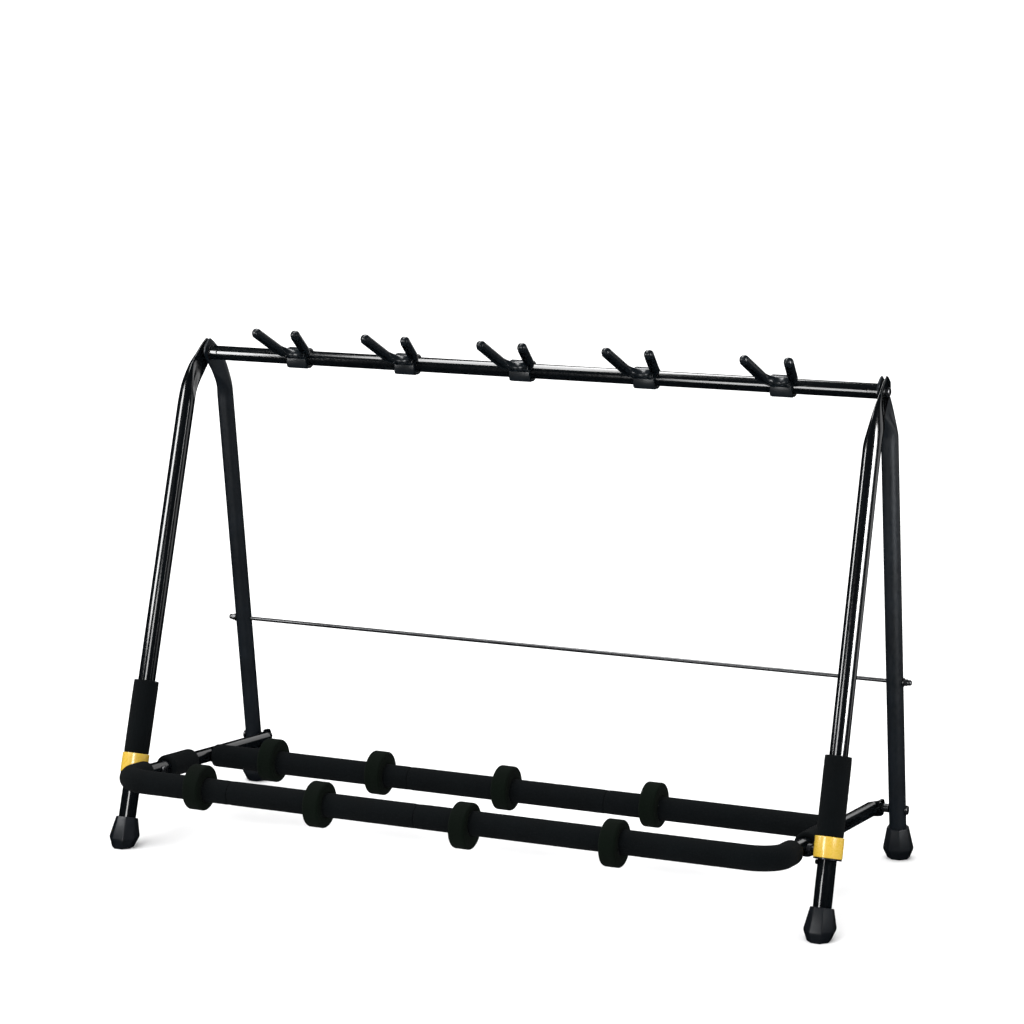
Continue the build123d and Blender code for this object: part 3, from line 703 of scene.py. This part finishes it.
def yoke(i, x):
    t = math.radians(30.7)
    fwd = Vector((0, -math.cos(t), math.sin(t)))
    up = Vector((0, math.sin(t), math.cos(t)))
    side = Vector((1, 0, 0))
    base = V(x, -14.0, PIVOT_Z + 6.0)
    R, A, tip = 20.8, math.radians(80.6), 66.0
    sx, sy = R * math.sin(A), R * (1 - math.cos(A))
    run = (tip - sy) / math.sin(A)
    tx = sx + run * math.cos(A)
    c = base + fwd * R * MM
    pts = [base - side * tx * MM + fwd * tip * MM]
    pts += arc(c, -fwd, side, R * MM, -A, A, 48)
    pts.append(base + side * tx * MM + fwd * tip * MM)
    path = Path(pts, up)
    L = path.length
    r = 6.2 * MM
    ns = 40
    # cross-section: angle loop with a channel sunk in the underside
    rings = []
    cap = 10
    rib_at = []
    for e in (0.021, 0.036):
        rib_at += [e, L - e]
    ss = [0.0]
    ss += [0.0]
    stations = set([0.0, L])
    k = int(L / 0.0012)
    for q in range(k + 1):
        stations.add(round(L * q / k, 6))
    for e in rib_at:
        for o in (-0.00095, -0.0007, 0.0007, 0.00095):
            stations.add(round(e + o, 6))
    stations = sorted(stations)

    def section(s, scale, push):
        pos, tan, a, b = path.at(s)
        pos = pos + tan * push
        near_tip = min(s, L - s)
        # channel depth: closed at the tips and over the clip
        open_ = 1.0
        open_ *= min(1.0, max(0.0, (near_tip - 0.0035) / 0.0022))
        mid = abs(s - L / 2)
        open_ *= min(1.0, max(0.0, (mid - 0.0125) / 0.0015))
        for e in rib_at:
            if abs(s - e) < 0.0009:
                open_ *= 0.55
        depth = 6.6 * MM * open_
        half = 3.7 * MM
        loop = []
        # rounded top (+b) and squarer underside (-b)
        for q in range(ns):
            w = -math.pi / 2 + 0.62 + (2 * math.pi - 1.24) * q / (ns - 1)
            p = 2.35
            cw, sw = math.cos(w), math.sin(w)
            rad = 1.0 / (abs(cw) ** p + abs(sw) ** p) ** (1 / p)
            loop.append((rad * cw * r, rad * sw * r * 0.96))
        lo = -0.955 * r
        loop += [(-half - 0.0005, lo), (-half, lo + 0.0005), (-half * 0.9, lo + max(depth, 0.0006)), (0, lo + max(depth, 0.0006) * 1.03), (half * 0.9, lo + max(depth, 0.0006)), (half, lo + 0.0005), (half + 0.0005, lo)]
        return [pos + (a * u + b * v) * scale for u, v in loop]

    for q in range(cap, 0, -1):
        w = math.pi / 2 * q / cap
        rings.append(section(0.0, math.cos(w) if q < cap else 0.04, -r * math.sin(w)))
    for s in stations:
        rings.append(section(s, 1.0, 0.0))
    for q in range(1, cap + 1):
        w = math.pi / 2 * q / cap
        rings.append(section(L, math.cos(w) if q < cap else 0.04, r * math.sin(w)))
    verts, faces = rings_mesh(rings, False)
    m = len(rings[0])
    faces.append(tuple(range(m)))
    faces.append(tuple(range(len(verts) - m, len(verts))))
    body = f"neck_yoke_{i}"
    fork = make(f"yoke_fork_{i}", verts, faces, body, "yoke_rubber", 38)

    # clip: one C-shaped band in the YZ plane, carried along X
    prof = []
    R0, R1 = BAR_R + 0.1, BAR_R + 3.9
    a0, a1 = math.radians(52), math.radians(-40)          # opening at the back
    outer = []
    for q in range(15):
        w = math.radians(40) + math.radians(62) * q / 14
        outer.append((R1 * math.cos(w), R1 * math.sin(w)))
    hump = [(-4.0, 14.4), (-9.0, 14.2), (-14.5, 12.4), (-18.0, 8.6), (-18.0, 3.5), (-14.5, 0.5)]
    front = [(-14.5, -9.0), (-12.4, -12.2), (-7.0, -13.6)]
    lower = []
    for q in range(9):
        w = math.radians(250) + math.radians(70) * q / 8
        lower.append((R1 * math.cos(w), R1 * math.sin(w)))
    inner = []
    for q in range(41):
        w = math.radians(320) - math.radians(280) * q / 40
        inner.append((R0 * math.cos(w), R0 * math.sin(w)))
    loop = outer + hump + front + lower + inner
    half = 14.3
    vs, fs = [], []
    xs = (-half, half)
    for xx in xs:
        for yy, zz in loop:
            vs.append(V(x + xx, yy, PIVOT_Z + zz))
    n = len(loop)
    for j in range(n):
        k2 = (j + 1) % n
        fs.append((j, k2, n + k2, n + j))
    fs.append(tuple(range(n)))
    fs.append(tuple(range(n, 2 * n)))
    me = bpy.data.meshes.new("clip")
    me.from_pydata([tuple(v) for v in vs], [], fs)
    bm = bmesh.new()
    bm.from_mesh(me)
    bmesh.ops.recalc_face_normals(bm, faces=bm.faces)
    bm.to_mesh(me)
    bm.free()
    ob = bpy.data.objects.new(f"yoke_clip_{i}", me)
    bpy.context.scene.collection.objects.link(ob)
    bevel(ob, 0.0008, 3, 50)
    finish_piece(ob, body, "yoke_rubber", 35, (f"neck_yoke_{i}",))


# ------------------------------------------------------------------ build all
foam_paths()
grips()
legs()
dividers()
feet()
for i, x in enumerate(YOKE_X):
    yoke(i + 1, x)


# ---------------------------------------------------- floor, lights and camera
def floor():
    me = bpy.data.meshes.new("floor")
    s = 150.0
    me.from_pydata([(-s, -s, 0), (s, -s, 0), (s, s, 0), (-s, s, 0)], [], [(0, 1, 2, 3)])
    ob = bpy.data.objects.new("floor", me)
    bpy.context.scene.collection.objects.link(ob)
    m, nt, b = new_material("floor_paint")
    n = noise_tex(nt, coords(nt), 3.0, 2, 0.5)
    nt.links.new(ramp(nt, n.outputs[0], [(0.3, (0.92, 0.92, 0.922)), (0.7, (0.94, 0.94, 0.942))]), b.inputs["Base Color"])
    b.inputs["Roughness"].default_value = 0.9
    b.inputs["Specular IOR Level"].default_value = 0.1
    me.materials.append(m)
    ob.visible_glossy = False


def softbox(name, loc, target, width, height, radiance, spread=180):
    """Studio softbox seen in the gloss only; Y is counted from the top pivot."""
    l = bpy.data.lights.new(name, "AREA")
    l.shape = "RECTANGLE"
    l.size, l.size_y = width, height
    l.energy = radiance * math.pi * width * height
    l.spread = math.radians(spread)
    ob = bpy.data.objects.new(name, l)
    bpy.context.scene.collection.objects.link(ob)
    loc = Vector(loc) + Vector((0, YC * MM, 0))
    target = Vector(target) + Vector((0, YC * MM, 0))
    ob.location = loc
    ob.visible_diffuse = False
    ob.visible_camera = False
    d = target - loc
    ob.rotation_euler = d.to_track_quat("-Z", "Y").to_euler()
    return ob


floor()
world = bpy.data.worlds.new("studio")
bpy.context.scene.world = world
world.use_nodes = True
bg = world.node_tree.nodes["Background"]
bg.inputs[0].default_value = (1.0, 1.0, 1.0, 1)
bg.inputs[1].default_value = 1.0
world.cycles_visibility.glossy = False
sun = bpy.data.lights.new("sun", "SUN")
sun.energy = 2.3
sun.angle = math.radians(60)
so = bpy.data.objects.new("sun", sun)
so.rotation_euler = (math.radians(18), math.radians(-14), 0)
so.visible_glossy = False
bpy.context.scene.collection.objects.link(so)
softbox("box_left", (-0.88, -0.63, 0.74), (-0.2, 0.1, 0.55), 0.30, 0.54, 27)
softbox("box_front", (-0.17, -1.60, 0.52), (0.0, 0.0, 0.40), 0.40, 0.76, 18)
softbox("box_right", (1.06, -0.36, 0.68), (0.297, 0.287, 0.43), 0.40, 0.70, 8.5, 56)
softbox("box_top", (-0.52, 0.13, 1.90), (-0.05, 0.02, 0.63), 2.0, 0.50, 17)
softbox("box_back", (1.70, 0.85, 0.60), (0.48, -0.05, 0.45), 1.0, 1.2, 1.6)
softbox("box_cyclorama", (-0.05, 1.70, 0.80), (0.2, 0.0, 0.25), 1.5, 0.7, 1.3)
bpy.context.scene.view_settings.view_transform = "Standard"

cam = bpy.data.cameras.new("camera")
cam.lens = 2954.2 / 1024 * 36
cam.sensor_width = 36
cam.shift_y = -0.1
cam.clip_end = 400
co = bpy.data.objects.new("camera", cam)
co.location = (1.4909, -3.4927 + YC * MM, 1.1442)
co.rotation_euler = (math.radians(90 - 8.492), 0, math.radians(23.461))
bpy.context.scene.collection.objects.link(co)
bpy.context.scene.camera = co

bpy.context.view_layer.update()
